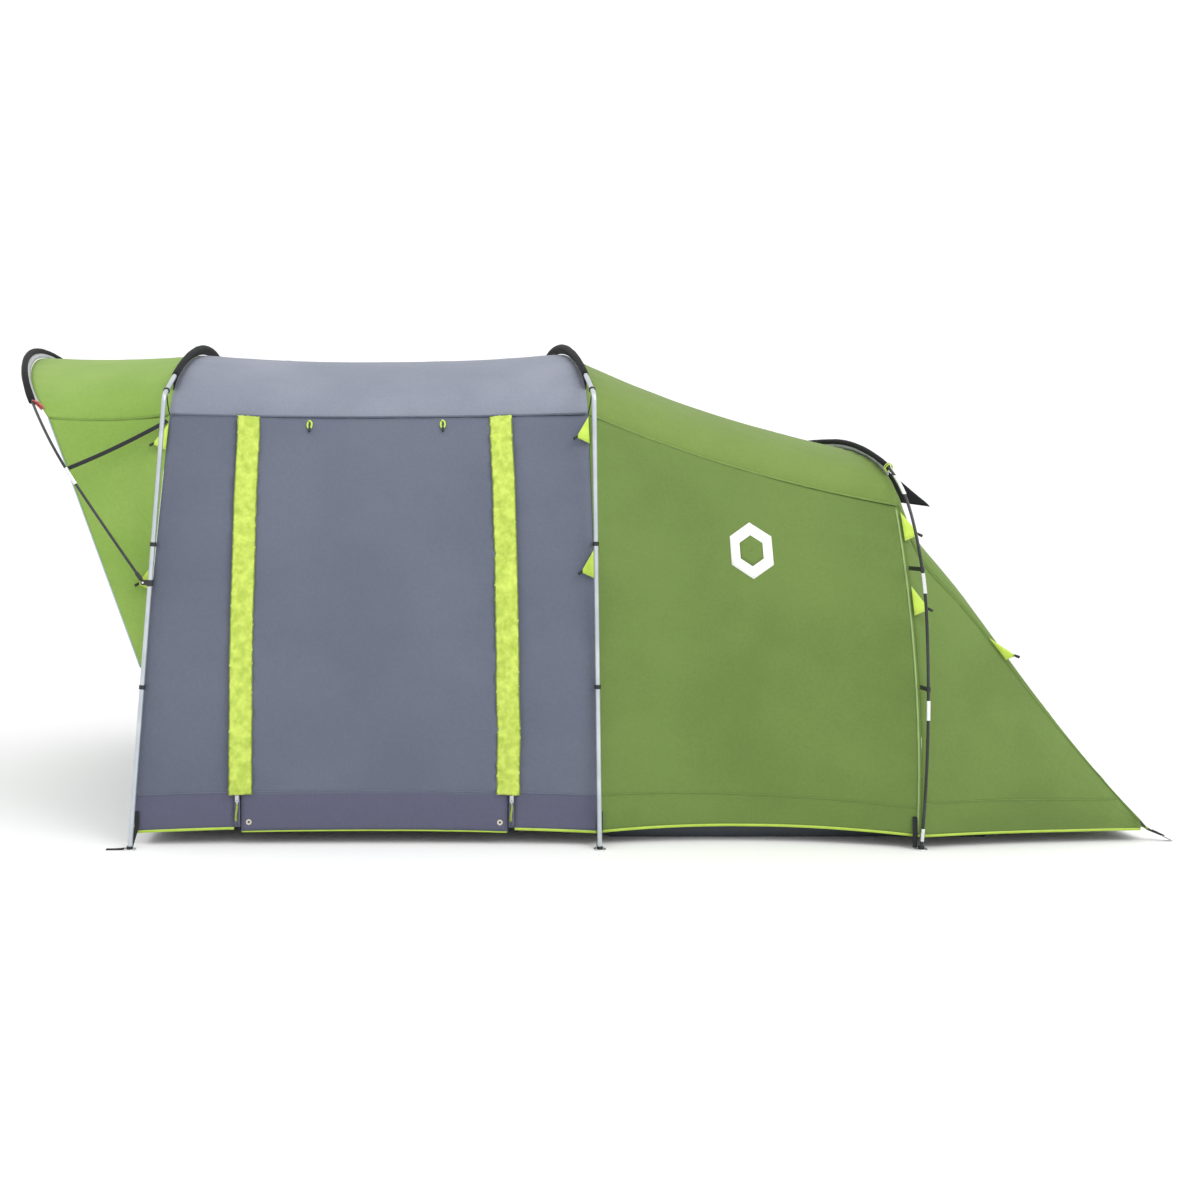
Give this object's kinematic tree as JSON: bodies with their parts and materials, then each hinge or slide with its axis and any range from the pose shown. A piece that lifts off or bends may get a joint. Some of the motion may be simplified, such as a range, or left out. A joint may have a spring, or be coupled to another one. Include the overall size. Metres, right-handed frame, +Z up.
{
  "type": "tunnel tent on poles",
  "caption": "Family tunnel tent on poled hoops with a pivoting porch canopy, side doors, a front door and a sloping bedroom tail.",
  "frame": {"origin": "middle of the footprint at ground level", "axes": "+X from the porch canopy to the tail, +Y from the near side to the far side, +Z up"},
  "size_m": [4.7803, 2.8634, 2.1178],
  "materials": {
    "steel_tube": "satin",
    "fibreglass": "gloss",
    "steel_ferrule": "satin",
    "black_webbing": "woven",
    "black_elastic": "matte",
    "grey_fly": "coated woven",
    "grey_wall": "coated woven",
    "green_canopy": "coated woven",
    "green_fly": "coated woven",
    "lime_webbing": "woven",
    "brass": "polished",
    "zinc": "plated",
    "black_nylon": "moulded",
    "groundsheet": "woven polyethylene",
    "inner_cloth": "woven"
  },
  "bodies": {
    "pitched_tent": {"bedroom_floor": "groundsheet", "bedroom_roof": "green_fly", "canopy_braces": "black_webbing", "canopy_roof": "green_canopy", "canopy_wing_far": "green_canopy", "canopy_wing_near": "green_canopy", "elbow_ties": "black_elastic", "foot_plugs": "black_nylon", "foot_rings": "steel_ferrule", "foot_straps": "black_webbing", "front_crown_pole": "fibreglass", "front_leg_far": "steel_tube", "front_leg_near": "steel_tube", "front_sleeve": "black_webbing", "front_wall": "grey_wall", "guy_runners": "black_nylon", "guy_tabs": "lime_webbing", "inner_wall": "inner_cloth", "leg_clips": "black_nylon", "living_roof": "grey_fly", "mid_crown_pole": "fibreglass", "mid_leg_far": "steel_tube", "mid_leg_near": "steel_tube", "mid_sleeve": "black_webbing", "peg_straps": "black_webbing", "pivot_clamps": "black_nylon", "pivot_pins": "steel_ferrule", "rear_brow": "black_webbing", "rear_clips": "black_nylon", "rear_ferrules": "steel_ferrule", "rear_pole_sections": "fibreglass", "rear_sleeve": "black_webbing", "rear_wall": "green_fly", "side_zips": "black_webbing", "sleeve_webs": "black_webbing", "tail_buckles": "black_nylon", "tail_side_far": "green_fly", "tail_side_near": "green_fly", "wall_bedroom_far": "green_fly", "wall_bedroom_near": "green_fly", "wall_front_far": "grey_wall", "wall_front_near": "grey_wall", "wall_mid_far": "grey_wall", "wall_mid_near": "grey_wall"},
    "canopy_bow": {"bow_pole_sections": "fibreglass", "bow_ferrules": "steel_ferrule", "bow_sleeve": "black_webbing", "bow_web": "black_webbing", "bow_sockets": "black_nylon"},
    "side_door_near": {"side_door_near": "grey_wall", "storm_flaps_near": "lime_webbing", "door_eyelets_near": "brass"},
    "side_door_far": {"side_door_far": "grey_wall", "storm_flaps_far": "lime_webbing", "door_eyelets_far": "brass"},
    "front_door": {"front_door": "grey_wall"},
    "zip_slider_near_front": {"zip_slider_near_front": "zinc"},
    "zip_slider_near_rear": {"zip_slider_near_rear": "zinc"},
    "zip_slider_far_front": {"zip_slider_far_front": "zinc"},
    "zip_slider_far_rear": {"zip_slider_far_rear": "zinc"}
  },
  "joints": [
    {"name": "canopy_bow_hinge", "type": "hinge", "parent": "pitched_tent", "child": "canopy_bow", "pos_m": [-1.66805, 0, 1.024], "axis": [0, 1, 0], "range_deg": [0, 25], "deforming": ["canopy_roof", "canopy_wing_near", "canopy_wing_far", "canopy_braces"]},
    {"name": "side_door_near_hinge", "type": "hinge", "parent": "pitched_tent", "child": "side_door_near", "pos_m": [-0.76421, -0.958, 1.7], "axis": [-1, 0, 0], "range_deg": [0, 95]},
    {"name": "side_door_far_hinge", "type": "hinge", "parent": "pitched_tent", "child": "side_door_far", "pos_m": [-0.76421, 0.958, 1.7], "axis": [1, 0, 0], "range_deg": [0, 95]},
    {"name": "front_door_hinge", "type": "hinge", "parent": "pitched_tent", "child": "front_door", "pos_m": [-1.57928, 0, 1.63541], "axis": [0, 1, 0], "range_deg": [0, 75]},
    {"name": "zip_near_front_run", "type": "hinge", "parent": "pitched_tent", "child": "zip_slider_near_front", "pos_m": [-1.29922, 2.692, 0.22088], "axis": [-1, 0, 0], "range_deg": [0, 20]},
    {"name": "zip_near_rear_run", "type": "hinge", "parent": "pitched_tent", "child": "zip_slider_near_rear", "pos_m": [-0.22821, 2.56707, 0.22916], "axis": [-1, 0, 0], "range_deg": [0, 20]},
    {"name": "zip_far_front_run", "type": "hinge", "parent": "pitched_tent", "child": "zip_slider_far_front", "pos_m": [-1.29922, -2.692, 0.22088], "axis": [1, 0, 0], "range_deg": [0, 20]},
    {"name": "zip_far_rear_run", "type": "hinge", "parent": "pitched_tent", "child": "zip_slider_far_rear", "pos_m": [-0.22821, -2.56707, 0.22916], "axis": [1, 0, 0], "range_deg": [0, 20]}
  ]
}
